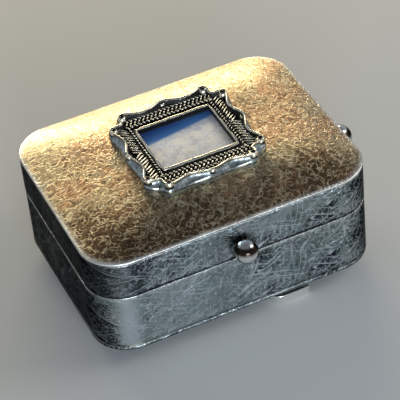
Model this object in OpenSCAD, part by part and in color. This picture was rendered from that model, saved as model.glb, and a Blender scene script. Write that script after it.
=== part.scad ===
// Small silver pill box with a hinged, domed lid and a cast miniature picture frame on the lid.
// The origin is the centre of the box on the surface it stands on. +X runs along the front,
// +Y towards the hinge and +Z up. Sizes are millimetres.

/* [Box] */
// Length of the box along its front
box_w = 44; // [40:0.5:56]
// Depth of the box from front to back
box_d = 34; // [32:0.5:46]
// Radius of the upright corners
corner_r = 5.8; // [4:0.1:8]
// Thickness of the sheet the walls are made of
wall_t = 0.8; // [0.6:0.1:1]
// Height of the base from its underside to the seam
base_h = 10.3; // [8:0.1:14]
// Gap between base and lid when shut
seam_gap = 0.15; // [0.1:0.05:0.3]

/* [Lid] */
// Height of the lid from the seam to the sharp rim round its top
lid_h = 6.5; // [5:0.1:9]
// Rise of the pillow-shaped top above the rim
dome_h = 2.2; // [1:0.1:3]
// Thickness of the top
dome_t = 0.6; // [0.5:0.1:0.9]

/* [Inner bezel] */
// Height of the bezel above the seam
bezel_up = 2; // [1.5:0.1:2.5]
// Height of the bezel below the seam
bezel_down = 3; // [2:0.1:5]
// Thickness of the bezel strip
bezel_t = 0.6; // [0.4:0.1:0.8]
// Clearance between bezel and lid wall
bezel_gap = 0.25; // [0.2:0.05:0.4]

/* [Hinge] */
// Length of the hinge
hinge_l = 26; // [18:1:28]
// Outer radius of the hinge tubes
knuckle_r = 1.1; // [1:0.05:1.3]
// Radius of the hinge pin
pin_r = 0.5; // [0.4:0.05:0.6]

/* [Balls] */
// Radius of the ball thumb-piece on the front of the lid
thumb_r = 1.76; // [1.5:0.02:2.2]
// Height of its centre above the seam
thumb_up = 2.2; // [2:0.1:3]
// Radius of the ball on the right side of the lid
side_r = 1.9; // [1.5:0.02:2.2]
// Height of its centre above the seam
side_up = 1.1; // [1.1:0.1:3]
// Distance of its centre in front of the middle of the side
side_forward = 1.7; // [0:0.1:6]

/* [Picture frame] */
// Overall width of the cast frame
frame_w = 19.2; // [17:0.1:20]
// Overall depth of the cast frame
frame_d = 18.6; // [17:0.1:20]
// Width of the window
window_w = 11.5; // [10:0.1:12]
// Depth of the window
window_d = 9.9; // [9:0.1:11]
// Height of the frame's outer edge above the middle of the lid
frame_up = 1.9; // [1.6:0.1:2.4]

/* [Feet] */
// Height that the feet lift the box
foot_drop = 2.3; // [1.8:0.1:3]
// Height of the foot strip
strip_h = 1.35; // [1:0.05:1.6]
// Thickness of the foot strip
strip_t = 0.6; // [0.4:0.1:0.8]

/* [Hidden] */
$fn = 64;

silver = [0.72, 0.71, 0.68];
polished = [0.85, 0.85, 0.84];
dark_silver = [0.42, 0.42, 0.41];

// Levels of the main faces
base_z = foot_drop;
seam_z = base_z + base_h;
lid_z = seam_z + seam_gap;
rim_z = seam_z + lid_h;
dome_z = rim_z + dome_h;

// Hinge: the axis lies just behind the back wall, in the middle of the seam
pin_fit = 0.04;
knuckle_gap = 0.1;
knuckle_count = 5;
pin_head_r = 0.8;
pin_head_l = 0.35;
knuckle_l = (hinge_l - knuckle_gap * (knuckle_count - 1)) / knuckle_count;
hinge_y = box_d / 2 + knuckle_r + 0.15;
hinge_z = seam_z + seam_gap / 2;

// Balls are filed flat where they are soldered on
ball_flat = 0.15;

// Catch: a half-round bead on the front of the bezel
bead_r = 0.45;
bead_out = 0.18;
bead_l = 6;

// Foot strip: a short run along the edge of the box, a bend and a leg under the box
foot_run = 3.9;
foot_bend = 2.5;
foot_leg = 3;
foot_inset = 0.5;
lug = [1.6, 2];
front_foot_x = 6.5;
rear_foot_x = 10;

// Frame: shape of the scalloped outline and the levels inside it
lobe_r = 3;
notch = 1.7;
scallop = 0.9;
edge_w = 1.1;
lip_w = 0.6;
lip_down = 0.3;
trough_down = 0.9;
frame_z = dome_z + frame_up;
card_t = 0.35;
glass_t = 0.3;
card_z = dome_z;

// Outline of a rectangle with round corners, as points, counter-clockwise
arc_steps = 12;
function rounded_outline(w, d, r) = [
    for (corner = [[1, 1, 0], [-1, 1, 90], [-1, -1, 180], [1, -1, 270]], i = [0 : arc_steps])
        [corner[0] * (w / 2 - r) + r * cos(corner[2] + i * 90 / arc_steps),
         corner[1] * (d / 2 - r) + r * sin(corner[2] + i * 90 / arc_steps)]
];

module plate(w, d, r, h) {
    linear_extrude(h)
        union() {
            square([w - 2 * r, d], center = true);
            square([w, d - 2 * r], center = true);
            for (x = [-1, 1], y = [-1, 1])
                translate([x * (w / 2 - r), y * (d / 2 - r)])
                    circle(r);
        }
}

// Upright wall of thickness t that follows the box at a given inset
module wall_ring(inset, t, h) {
    difference() {
        plate(box_w - 2 * inset, box_d - 2 * inset, corner_r - inset, h);
        translate([0, 0, -1])
            plate(box_w - 2 * (inset + t), box_d - 2 * (inset + t), corner_r - inset - t, h + 2);
    }
}

// Solid pillow: rings of the outline shrink to the middle as they rise
dome_rings = 12;
function pillow_rise(s) = 1 - pow(s, 3);
module pillow(w, d, r, h) {
    edge = rounded_outline(w, d, r);
    n = len(edge);
    rings = [for (k = [0 : dome_rings - 1], p = edge)
        let (s = 1 - k / dome_rings)
            [s * p[0], s * p[1], h * pillow_rise(s)]];
    sides = [for (k = [0 : dome_rings - 2], i = [0 : n - 1])
        [k * n + i, (k + 1) * n + i, (k + 1) * n + (i + 1) % n, k * n + (i + 1) % n]];
    cap = [for (i = [0 : n - 1])
        [(dome_rings - 1) * n + i, dome_rings * n, (dome_rings - 1) * n + (i + 1) % n]];
    floor_face = [[for (i = [0 : n - 1]) i]];
    polyhedron(points = concat(rings, [[0, 0, h]]), faces = concat(sides, cap, floor_face));
}

module lid_pillow() {
    translate([0, 0, rim_z])
        pillow(box_w, box_d, corner_r, dome_h);
}

module base_band() {
    color(silver)
        translate([0, 0, base_z + wall_t])
            wall_ring(0, wall_t, base_h - wall_t);
}

module base_plate() {
    color(silver)
        translate([0, 0, base_z])
            plate(box_w, box_d, corner_r, wall_t);
}

module inner_bezel() {
    color(silver)
        union() {
            translate([0, 0, seam_z - bezel_down])
                wall_ring(wall_t, bezel_gap + bezel_t, bezel_down);
            translate([0, 0, seam_z])
                wall_ring(wall_t + bezel_gap, bezel_t, bezel_up);
        }
}

module catch_bead() {
    face_y = -(box_d / 2 - wall_t - bezel_gap);
    color(silver)
        intersection() {
            translate([-bead_l / 2, face_y + bead_r - bead_out, seam_z + bezel_up / 2])
                rotate([0, 90, 0])
                    cylinder(r = bead_r, h = bead_l);
            translate([-bead_l / 2 - 1, face_y - bead_r, seam_z])
                cube([bead_l + 2, bead_r, bezel_up]);
        }
}

// One foot, with its run along +X and its leg towards +Y
module strip_foot() {
    union() {
        cube([foot_run, strip_t, strip_h]);
        translate([0, foot_bend, 0])
            rotate([0, 0, 180])
                rotate_extrude(angle = 90)
                    translate([foot_bend - strip_t, 0])
                        square([strip_t, strip_h]);
        translate([-foot_bend, foot_bend, 0])
            cube([strip_t, foot_leg, strip_h]);
        translate([-foot_bend, foot_bend + foot_leg - lug[1], 0])
            cube([lug[0], lug[1], foot_drop]);
    }
}

module front_foot() {
    color(polished)
        translate([front_foot_x, -(box_d / 2 - foot_inset), 0])
            strip_foot();
}

module rear_foot_left() {
    color(polished)
        translate([-rear_foot_x, box_d / 2 - foot_inset, 0])
            rotate([0, 0, 180])
                strip_foot();
}

module rear_foot_right() {
    mirror([1, 0, 0])
        rear_foot_left();
}

// Hinge tube number i from the left; way is -1 for one soldered to the base, 1 for the lid
module knuckle(i, way, bore_r) {
    web_gap = 0.1;
    web_z = way > 0 ? web_gap : -knuckle_r;
    color(silver)
        translate([-hinge_l / 2 + i * (knuckle_l + knuckle_gap), hinge_y, hinge_z])
            difference() {
                union() {
                    rotate([0, 90, 0])
                        cylinder(r = knuckle_r, h = knuckle_l);
                    translate([0, box_d / 2 - hinge_y, web_z])
                        cube([knuckle_l, hinge_y - box_d / 2, knuckle_r - web_gap]);
                }
                translate([-1, 0, 0])
                    rotate([0, 90, 0])
                        cylinder(r = bore_r, h = knuckle_l + 2);
            }
}

module base_knuckle_left() { knuckle(0, -1, pin_r); }
module base_knuckle_middle() { knuckle(2, -1, pin_r); }
module base_knuckle_right() { knuckle(4, -1, pin_r); }
module lid_knuckle_left() { knuckle(1, 1, pin_r + pin_fit); }
module lid_knuckle_right() { knuckle(3, 1, pin_r + pin_fit); }

module hinge_pin() {
    color(polished)
        translate([0, hinge_y, hinge_z])
            rotate([0, 90, 0])
                union() {
                    cylinder(r = pin_r, h = hinge_l, center = true);
                    for (side = [-1, 1])
                        translate([0, 0, side * (hinge_l + pin_head_l) / 2])
                            cylinder(r = pin_head_r, h = pin_head_l, center = true);
                }
}

module lid_band() {
    color(silver)
        translate([0, 0, lid_z])
            wall_ring(0, wall_t, rim_z - lid_z);
}

module lid_top() {
    color([0.76, 0.7, 0.58])
        difference() {
            lid_pillow();
            translate([0, 0, rim_z])
                pillow(box_w - 2 * wall_t, box_d - 2 * wall_t, corner_r - wall_t, dome_h - dome_t);
        }
}

// Ball that stands off along +X from a flat of its own at the origin
module soldered_ball(r) {
    intersection() {
        translate([r - ball_flat, 0, 0])
            sphere(r);
        translate([0, -r, -r])
            cube([2 * r, 2 * r, 2 * r]);
    }
}

module thumb_ball() {
    color(polished)
        translate([0, -box_d / 2, seam_z + thumb_up])
            rotate([0, 0, -90])
                soldered_ball(thumb_r);
}

module side_ball() {
    color(polished)
        translate([box_w / 2, -side_forward, seam_z + side_up])
            soldered_ball(side_r);
}

// Scalloped outline: lobes and dips alternate along each side, and a round notch crosses each
// corner. r is the radius of the corner before the notch is taken out of it
side_steps = 20;
corner_steps = 14;
function dip(turns, depth) = depth * (1 - cos(360 * turns)) / 2;
function scallop_side(half_w, half_l, r) = [
    for (i = [0 : side_steps])
        let (t = i / side_steps)
            [half_w - dip(2 * t, scallop), (2 * t - 1) * (half_l - r)]
];
function notched_corner(half_w, half_l, r) = [
    for (i = [1 : corner_steps - 1])
        let (t = i / corner_steps, reach = r - dip(t, notch))
            [half_w - r + reach * cos(90 * t), half_l - r + reach * sin(90 * t)]
];
function turned(points, quarter) = [
    for (p = points)
        [p[0] * cos(90 * quarter) - p[1] * sin(90 * quarter),
         p[0] * sin(90 * quarter) + p[1] * cos(90 * quarter)]
];
function scalloped_outline(inset) = [
    for (quarter = [0 : 3])
        let (half_w = (quarter % 2 == 0 ? frame_w : frame_d) / 2 - inset,
             half_l = (quarter % 2 == 0 ? frame_d : frame_w) / 2 - inset,
             r = lobe_r - inset)
            for (p = turned(concat(scallop_side(half_w, half_l, r),
                                   notched_corner(half_w, half_l, r)), quarter))
                p
];

module picture_frame() {
    color(dark_silver)
        difference() {
            translate([0, 0, rim_z])
                linear_extrude(frame_z - rim_z)
                    polygon(scalloped_outline(0));
            // Trough between the outer edge and the lip round the window
            translate([0, 0, frame_z - trough_down])
                difference() {
                    linear_extrude(trough_down + 1)
                        polygon(scalloped_outline(edge_w));
                    translate([0, 0, -1])
                        linear_extrude(trough_down + 3)
                            square([window_w + 2 * lip_w, window_d + 2 * lip_w], center = true);
                }
            // The lip is lower than the outer edge
            translate([0, 0, frame_z - lip_down])
                linear_extrude(lip_down + 1)
                    square([window_w + 2 * lip_w, window_d + 2 * lip_w], center = true);
            translate([0, 0, rim_z - 1])
                linear_extrude(frame_z - rim_z + 2)
                    square([window_w, window_d], center = true);
            lid_pillow();
        }
}

module picture_card() {
    color([0.7, 0.7, 0.78])
        difference() {
            translate([-window_w / 2, -window_d / 2, card_z - 0.3])
                cube([window_w, window_d, card_t + 0.3]);
            lid_pillow();
        }
}

module frame_glass() {
    color([0.8, 0.85, 0.9, 0.4])
        translate([-window_w / 2, -window_d / 2, card_z + card_t])
            cube([window_w, window_d, glass_t]);
}

base_band();
base_plate();
inner_bezel();
catch_bead();
front_foot();
rear_foot_left();
rear_foot_right();
base_knuckle_left();
base_knuckle_middle();
base_knuckle_right();
hinge_pin();
lid_band();
lid_top();
lid_knuckle_left();
lid_knuckle_right();
thumb_ball();
side_ball();
picture_frame();
picture_card();
frame_glass();
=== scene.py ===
import math

import bmesh
import bpy
import numpy as np
from bpy.props import FloatProperty, FloatVectorProperty, IntProperty, PointerProperty
from mathutils import Matrix, Vector, noise


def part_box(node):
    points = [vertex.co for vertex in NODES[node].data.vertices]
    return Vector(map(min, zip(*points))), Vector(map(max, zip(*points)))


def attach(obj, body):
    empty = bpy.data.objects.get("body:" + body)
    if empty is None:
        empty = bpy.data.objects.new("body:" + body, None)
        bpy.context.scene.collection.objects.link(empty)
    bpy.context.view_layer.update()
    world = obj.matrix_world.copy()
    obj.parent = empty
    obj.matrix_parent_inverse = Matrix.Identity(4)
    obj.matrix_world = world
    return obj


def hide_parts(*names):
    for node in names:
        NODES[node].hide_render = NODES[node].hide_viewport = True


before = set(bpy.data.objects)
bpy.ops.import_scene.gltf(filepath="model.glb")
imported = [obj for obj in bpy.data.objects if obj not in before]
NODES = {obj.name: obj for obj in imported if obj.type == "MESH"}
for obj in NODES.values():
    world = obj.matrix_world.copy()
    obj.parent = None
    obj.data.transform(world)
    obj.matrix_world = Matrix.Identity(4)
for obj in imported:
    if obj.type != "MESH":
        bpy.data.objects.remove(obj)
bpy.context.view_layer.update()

bl_info = {
    "name": "Pill Box with Picture Frame",
    "version": (1, 0, 0),
    "blender": (4, 5, 0),
    "location": "View3D > Sidebar > Pill Box",
    "description": "Builds a worn silver pill box around its packed frame",
    "category": "Add Mesh",
}

MM = 0.001

# ---------------------------------------------------------------- sizes taken from the frame
base_low, base_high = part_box("base_band")
plate_low, plate_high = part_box("base_plate")
lid_low, lid_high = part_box("lid_band")
top_low, top_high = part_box("lid_top")
bezel_low, bezel_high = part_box("inner_bezel")
cast_low, cast_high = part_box("picture_frame")
card_low, card_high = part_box("picture_card")
thumb_low, thumb_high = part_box("thumb_ball")
side_low, side_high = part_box("side_ball")
BOX_W = top_high.x - top_low.x
BOX_D = top_high.y - top_low.y
WALL = plate_high.z - plate_low.z
RISE = top_high.z - top_low.z
CORNER = 5.8 * MM
RIM_DOWN = 0.3 * MM
SHARP = math.radians(50)


def length_setting(name, description, default):
    return FloatProperty(name=name, description=description, default=default, min=0,
                         subtype="DISTANCE", unit="LENGTH")


def colour_setting(name, description, default):
    return FloatVectorProperty(name=name, description=description, default=default, size=4,
                               min=0, max=1, subtype="COLOR")


class BoxSizes(bpy.types.PropertyGroup):
    """Sizes of the finish and of the small shapes the frame does not carry"""
    rim_round: length_setting("Rim rounding", "Radius worn on to the rim of the lid", 0.22 * MM)
    foot_round: length_setting(
        "Bottom rounding", "Radius round the bottom edge of the base", 0.45 * MM)
    edge_round: length_setting("Seam rounding", "Radius on the edges at the seam", 0.1 * MM)
    dent_depth: length_setting("Dent depth", "How far the sheet waves inwards", 0.07 * MM)
    rib_count: IntProperty(
        name="Leaf ribs", description="Ribs along each side member of the cast frame",
        default=10, min=4, max=40)
    braid_count: IntProperty(
        name="Braid beads", description="Beads in one row of braid",
        default=21, min=4, max=60)


class BoxColours(bpy.types.PropertyGroup):
    """Colours of the metal, its tarnish, the card and the painted shadow on the card"""
    warm_silver: colour_setting("Warm silver", "Golden tarnish on the lid", (0.58, 0.45, 0.27, 1))
    cool_silver: colour_setting("Cool silver", "Bare metal on the walls", (0.28, 0.325, 0.34, 1))
    black_tarnish: colour_setting("Black tarnish", "Oldest tarnish", (0.02, 0.02, 0.018, 1))
    card_grey: colour_setting("Card grey", "Pearly card in the frame", (0.74, 0.77, 0.85, 1))
    # Painted shadow: the deep blue band on the card's back edge
    card_shadow_blue: colour_setting(
        "Card blue", "Blue band along the card's back edge", (0.01, 0.09, 0.4, 1))


def sizes():
    return bpy.context.scene.pill_box_sizes


def colours():
    return bpy.context.scene.pill_box_colours


# ---------------------------------------------------------------- node trees
class Graph:
    """Short hand for making nodes in one tree"""

    def __init__(self, tree):
        self.tree = tree

    def put(self, kind, inputs=None, **settings):
        node = self.tree.nodes.new(kind)
        for name, value in settings.items():
            setattr(node, name, value)
        return self.fill(node, inputs or {})

    def fill(self, node, inputs):
        """Link or set each named or numbered input"""
        for key, value in inputs.items():
            if isinstance(value, bpy.types.NodeSocket):
                self.link(value, node.inputs[key])
            else:
                node.inputs[key].default_value = value
        return node

    def math(self, operation, a, b=0.0, clamp=False):
        node = self.put("ShaderNodeMath", {0: a, 1: b}, operation=operation, use_clamp=clamp)
        return node.outputs[0]

    def times(self, a, b):
        return self.math("MULTIPLY", a, b)

    def plus(self, a, b):
        return self.math("ADD", a, b)

    def minus(self, a, b):
        return self.math("SUBTRACT", a, b)

    def larger(self, a, b):
        return self.math("MAXIMUM", a, b)

    def link(self, value, socket):
        self.tree.links.new(value, socket)

    def emboss(self, shader, height, strength, distance):
        """Bump on the shader; the distance is in millimetres"""
        raised = self.put("ShaderNodeBump", {
            "Height": height, "Strength": strength, "Distance": distance * MM})
        self.fill(shader, {"Normal": raised.outputs[0]})

    def vector(self, operation, a, b=(0, 0, 0)):
        return self.put("ShaderNodeVectorMath", {0: a, 1: b}, operation=operation).outputs[0]

    def scaled(self, vector, factor):
        return self.put("ShaderNodeVectorMath", {0: vector, 3: factor},
                        operation="SCALE").outputs[0]

    def parts(self, vector):
        return self.put("ShaderNodeSeparateXYZ", {0: vector}).outputs

    def combined(self, x, y, z):
        return self.put("ShaderNodeCombineXYZ", {0: x, 1: y, 2: z}).outputs[0]

    def noise(self, vector, scale, detail=2.0, rough=0.5, distortion=0.0):
        node = self.put("ShaderNodeTexNoise", {
            "Vector": vector, "Scale": scale, "Detail": detail,
            "Roughness": rough, "Distortion": distortion})
        return node.outputs["Fac"]

    def remap(self, value, low, high, to_low=0.0, to_high=1.0):
        node = self.put("ShaderNodeMapRange", {
            "Value": value, "From Min": low, "From Max": high,
            "To Min": to_low, "To Max": to_high}, interpolation_type="SMOOTHSTEP")
        return node.outputs["Result"]

    def mix(self, factor, a, b):
        node = self.put("ShaderNodeMix", data_type="RGBA")
        return self.fill(node, {0: factor, 6: a, 7: b}).outputs[2]


def shader_group(name, inputs, outputs):
    """New shader group of numbers; an input without a default is a vector"""
    tree = bpy.data.node_groups.new(name, "ShaderNodeTree")
    for title, value in inputs.items():
        kind = "NodeSocketVector" if value is None else "NodeSocketFloat"
        socket = tree.interface.new_socket(title, in_out="INPUT", socket_type=kind)
        if value is not None:
            socket.default_value = value
    for title in outputs:
        tree.interface.new_socket(title, in_out="OUTPUT", socket_type="NodeSocketFloat")
    graph = Graph(tree)
    return graph, graph.put("NodeGroupInput").outputs, graph.put("NodeGroupOutput").inputs


def make_hair_scratches():
    """Short curly strokes: the middle contours of two smooth noises, broken into short lengths"""
    g, inp, out = shader_group(
        "hair scratches", {"Vector": None, "Scale": 1.0, "Width": 0.06, "Cover": 0.5}, ("Mask",))
    scaled = g.scaled(inp["Vector"], inp["Scale"])
    lines = []
    for shift, scale, distortion in ((0.0, 1.0, 0.9), (37.0, 1.45, 0.5)):
        moved = g.vector("ADD", scaled, (shift, shift * 0.7, shift * 1.3))
        field = g.noise(moved, scale, 0.0, 0.5, distortion)
        off = g.math("ABSOLUTE", g.minus(field, 0.5))
        line = g.minus(1.0, g.math("DIVIDE", off, inp["Width"], clamp=True))
        gate_field = g.noise(g.vector("ADD", moved, (11.0, 5.0, 3.0)), scale * 1.3, 0.0)
        gate = g.remap(gate_field, g.minus(0.93, inp["Cover"]),
                       g.minus(1.07, inp["Cover"]))
        lines.append(g.times(line, gate))
    both = g.larger(lines[0], lines[1])
    g.link(both, out["Mask"])
    return g.tree


def make_long_scratches():
    """Nearly straight scratches in three directions, broken up along their length"""
    g, inp, out = shader_group(
        "long scratches", {"Vector": None, "Length": 9.0, "Spacing": 0.35, "Cover": 0.35},
        ("Mask",))
    total = None
    for turn, shift in ((0.5, 3.0), (-0.35, 17.0), (1.25, 41.0)):
        bend = g.noise(inp["Vector"], 0.12, 1.0)
        wander = g.combined(g.times(bend, 6.0), bend, shift)
        warped = g.vector("ADD", inp["Vector"], wander)
        turned = g.put("ShaderNodeVectorRotate", {"Vector": warped, "Angle": turn},
                       rotation_type="Z_AXIS").outputs[0]
        along, across, layer = g.parts(turned)
        stretched = g.combined(g.math("DIVIDE", along, inp["Length"]),
                               g.math("DIVIDE", across, inp["Spacing"]), layer)
        field = g.noise(stretched, 1.0, 1.0)
        line = g.remap(field, 0.64, 0.7)
        gate = g.remap(g.noise(warped, 0.35, 2.0), g.minus(0.75, inp["Cover"]), 0.8)
        line = g.times(line, gate)
        total = line if total is None else g.larger(total, line)
    g.link(total, out["Mask"])
    return g.tree


def make_mottle():
    """Cloudy patches with a grainy border, as tarnish creeps over silver"""
    g, inp, out = shader_group(
        "tarnish mottle",
        {"Vector": None, "Patch Scale": 0.15, "Grain Scale": 3.0, "Level": 0.5, "Softness": 0.05},
        ("Mask", "Cloud"))
    cloud = g.noise(inp["Vector"], inp["Patch Scale"], 3.0, 0.55, 0.3)
    grain = g.noise(inp["Vector"], inp["Grain Scale"], 3.0, 0.6, 0.6)
    mixed = g.plus(g.times(cloud, 0.62), g.times(grain, 0.38))
    mask = g.remap(mixed, g.minus(inp["Level"], inp["Softness"]),
                   g.plus(inp["Level"], inp["Softness"]))
    g.link(mask, out["Mask"])
    g.link(cloud, out["Cloud"])
    return g.tree


def place_group(g, tree, inputs):
    return g.put("ShaderNodeGroup", inputs, node_tree=tree).outputs


def new_material(name):
    material = bpy.data.materials.new(name)
    material.use_nodes = True
    g = Graph(material.node_tree)
    shader = material.node_tree.nodes["Principled BSDF"]
    return material, g, shader


def surface_millimetres(g, wrapped):
    """Pattern coordinates in millimetres, from the piece's own map or from its place"""
    if wrapped:
        return g.put("ShaderNodeUVMap", uv_map="wrap").outputs[0]
    place = g.put("ShaderNodeTexCoord").outputs["Object"]
    return g.scaled(place, 1 / MM)


def attribute(g, name):
    return g.put("ShaderNodeAttribute", attribute_name=name).outputs["Fac"]


def worn_silver(name, groups, bare, second, dirt, shine, patch, hair, cover, level, long_cover,
                rough, bump, wrapped=True, kept=True, depth=0.75, quiet=0.85, glance=1.0,
                soft=0.05):
    """Old silver sheet: bare metal, tarnish in patches, hair and long scratches, polished edges.
    bare, second, dirt and shine are colours: two tones of metal, tarnish, and bright scratches
    whose colour the painted sheen takes too. hair and patch are how many pattern cells lie in a
    millimetre; cover and long_cover say how much of the metal the hair and the long scratches
    take, level and soft how much tarnish there is and how soft its border; depth darkens the
    dark scratches, quiet calms the bright ones under painted shade, and glance is the shine at
    a grazing angle. wrapped reads the piece's own map, and kept says that it carries its own
    marks: worn edges, painted shade mixed with some dirt, and painted sheen on polished places"""
    material, g, shader = new_material(name)
    where = surface_millimetres(g, wrapped)
    # Shifts keep the layers of one pattern from falling on each other
    dark_shift, deep_shift, hue_shift = (91.0, 13.0, 7.0), (33.0, 71.0, 0.0), (5.0, 61.0, 23.0)
    # Marks laid on the piece: painted shade mixed with some dirt, and painted sheen
    shade_and_grime = attribute(g, "shade_and_grime") if kept else 0.0
    polish_and_sheen = attribute(g, "polish_and_sheen") if kept else 0.0
    # Painted shade raises the tarnish and painted sheen lowers it
    tarnish_and_shade_level = g.plus(level, g.minus(g.times(shade_and_grime, 0.2),
                                             g.times(polish_and_sheen, 0.3)))
    mottle = place_group(g, groups["mottle"], {
        "Vector": where, "Patch Scale": patch, "Grain Scale": 1.7, "Level": tarnish_and_shade_level,
        "Softness": soft})
    light = place_group(g, groups["hair"], {
        "Vector": where, "Scale": hair, "Width": 0.055, "Cover": cover})["Mask"]
    dark = place_group(g, groups["hair"], {
        "Vector": g.vector("ADD", where, dark_shift), "Scale": hair * 0.9,
        "Width": 0.06, "Cover": cover})["Mask"]
    long_lines = place_group(g, groups["long"], {
        "Vector": where, "Length": 7.0, "Spacing": 0.34, "Cover": long_cover})["Mask"]
    deep_lines = place_group(g, groups["long"], {
        "Vector": g.vector("ADD", where, deep_shift), "Length": 17.0, "Spacing": 0.4,
        "Cover": long_cover + 0.1})["Mask"]
    long_lines = g.larger(g.times(long_lines, 0.85), deep_lines)
    keep = g.minus(1.0, g.times(polish_and_sheen, 0.8))
    hue = g.remap(g.noise(g.vector("ADD", where, hue_shift), 0.16, 2.0), 0.42, 0.6)
    tone = g.mix(mottle["Mask"], dirt, g.mix(hue, bare, second))
    tone = g.mix(g.times(g.times(dark, keep), depth), tone,
                 colours().black_tarnish[:])
    # Bright scratches fade under painted sheen and under painted shade
    calm = g.times(keep, g.minus(1.0, g.times(shade_and_grime, quiet)))
    bright = g.larger(g.times(light, 0.75),
                    g.times(long_lines, 0.9))
    tone = g.mix(g.times(bright, calm), tone, shine)
    if kept:
        # Painted sheen: the shine colour laid over the marked bright places
        tone = g.mix(g.times(polish_and_sheen, 0.75), tone, shine)
        rubbed_bare = (0.95, 0.94, 0.9, 1)
        tone = g.mix(attribute(g, "worn"), tone, rubbed_bare)
    spread = g.plus(mottle["Cloud"], g.times(polish_and_sheen, 0.25))
    g.fill(shader, {
        "Base Color": tone, "Metallic": 1.0, "Specular Tint": (glance, glance, glance, 1),
        "Roughness": g.remap(spread, 0.3, 0.7, rough[1], rough[0])})
    relief = g.minus(g.times(light, 0.7),
                    g.larger(dark, long_lines))
    relief = g.plus(g.times(relief, keep),
                    g.times(mottle["Mask"], 0.5))
    g.emboss(shader, relief, bump, 0.05)
    return material


def polished_silver(name, groups, tone, rough, tarnish_and_shade_tone, glance=1.0):
    """Bright metal with fine pits and a little tarnish, deepest where the piece is marked with
    painted shade
    """
    material, g, shader = new_material(name)
    where = surface_millimetres(g, False)
    mottle = place_group(g, groups["mottle"], {
        "Vector": where, "Patch Scale": 0.9, "Grain Scale": 5.0, "Level": 0.6})
    fine = place_group(g, groups["hair"], {
        "Vector": where, "Scale": 3.5, "Width": 0.05, "Cover": 0.35})["Mask"]
    # Painted shade: the marked dark reflection on the ball joins the tarnish mottle
    tarnish_and_shade = g.larger(g.times(mottle["Mask"], 0.8), attribute(g, "shade_and_grime"))
    g.fill(shader, {
        "Base Color": g.mix(tarnish_and_shade, tone, tarnish_and_shade_tone), "Metallic": 1.0,
        "Specular Tint": (glance, glance, glance, 1),
        "Roughness": g.remap(mottle["Cloud"], 0.3, 0.8, rough, rough + 0.15)})
    g.emboss(shader, g.times(fine, -1.0), 0.15, 0.03)
    return material


def cast_silver(name):
    """Cast metal, black in its recesses, rubbed bright on its crests, smooth round its skirt"""
    material, g, shader = new_material(name)
    where = surface_millimetres(g, False)
    crest = attribute(g, "crest")
    skirt = attribute(g, "skirt")
    grain = g.noise(where, 2.0, 2.0, 0.55)
    swing = g.times(g.minus(grain, 0.5),
                   g.minus(0.55, g.times(skirt, 0.4)))
    height = g.plus(crest, swing)
    recess, dull, brown = (0.006, 0.005, 0.004, 1), (0.05, 0.045, 0.04, 1), (0.2, 0.18, 0.15, 1)
    gold, slate, steel = (0.95, 0.88, 0.7, 1), (0.22, 0.25, 0.25, 1), (0.5, 0.55, 0.54, 1)
    lip = (0.95, 0.92, 0.84, 1)
    tone = g.mix(g.remap(height, 0.15, 0.5), recess, g.mix(grain, dull, brown))
    tone = g.mix(g.remap(height, 0.37, 0.6), tone, gold)
    smooth = g.mix(g.remap(grain, 0.35, 0.65), slate, steel)
    smooth = g.mix(g.remap(height, 0.7, 0.9), smooth, lip)
    tone = g.mix(skirt, tone, smooth)
    rubbed = g.plus(height, g.times(skirt, 0.22))
    g.fill(shader, {
        "Base Color": tone, "Metallic": g.remap(height, 0.1, 0.4, 0.4, 1.0),
        "Roughness": g.remap(rubbed, 0.2, 0.9, 0.55, 0.17)})
    g.emboss(shader, g.times(grain, g.minus(1.0, g.times(skirt, 0.7))), 0.4, 0.06)
    return material


def pearly_card(name):
    """Pale card with a pearly grain and a painted shadow: a deep blue band along its back edge"""
    material, g, shader = new_material(name)
    where = surface_millimetres(g, False)
    parts = g.parts(where)
    cloud = g.noise(where, 0.5, 3.0, 0.6)
    flakes = g.noise(where, 2.2, 2.0, 0.6, 1.2)
    cream, white, plum, sky = ((0.95, 0.91, 0.85, 1), (1.0, 1.0, 1.0, 1), (0.42, 0.36, 0.5, 1),
                               (0.06, 0.26, 0.66, 1))
    pale = g.mix(g.remap(cloud, 0.38, 0.62), colours().card_grey[:], cream)
    pale = g.mix(g.remap(flakes, 0.46, 0.62, 0.0, 0.75), pale, white)
    violet = g.remap(g.noise(where, 0.8, 1.0), 0.52, 0.66, 0.0, 0.3)
    pale = g.mix(violet, pale, plum)
    # The painted shadow band is widest at the left and its edge runs straight, a little aslant
    back = card_high.y / MM
    line = g.minus(parts[1], g.times(parts[0], 0.16))
    band = g.remap(line, back - 2.5, back - 1.9)
    deep = g.remap(line, back - 2.2, back + 0.4)
    # Painted shadow colour, deepening towards the back edge
    blue = g.mix(deep, sky, colours().card_shadow_blue[:])
    g.fill(shader, {
        "Base Color": g.mix(band, pale, blue), "Metallic": 0.2,
        "Roughness": g.remap(flakes, 0.3, 0.7, 0.35, 0.55)})
    g.emboss(shader, flakes, 0.1, 0.03)
    return material


def thin_glass(name):
    """Old window glass with faint smears"""
    material, g, shader = new_material(name)
    where = surface_millimetres(g, False)
    smear = g.noise(where, 0.4, 3.0, 0.6, 0.8)
    g.fill(shader, {
        "Base Color": (0.6, 0.66, 0.75, 1), "IOR": 1.5,
        "Roughness": g.remap(smear, 0.4, 0.75, 0.02, 0.1),
        "Alpha": g.remap(smear, 0.4, 0.75, 0.03, 0.09)})
    return material


MATERIALS = {}


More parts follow.
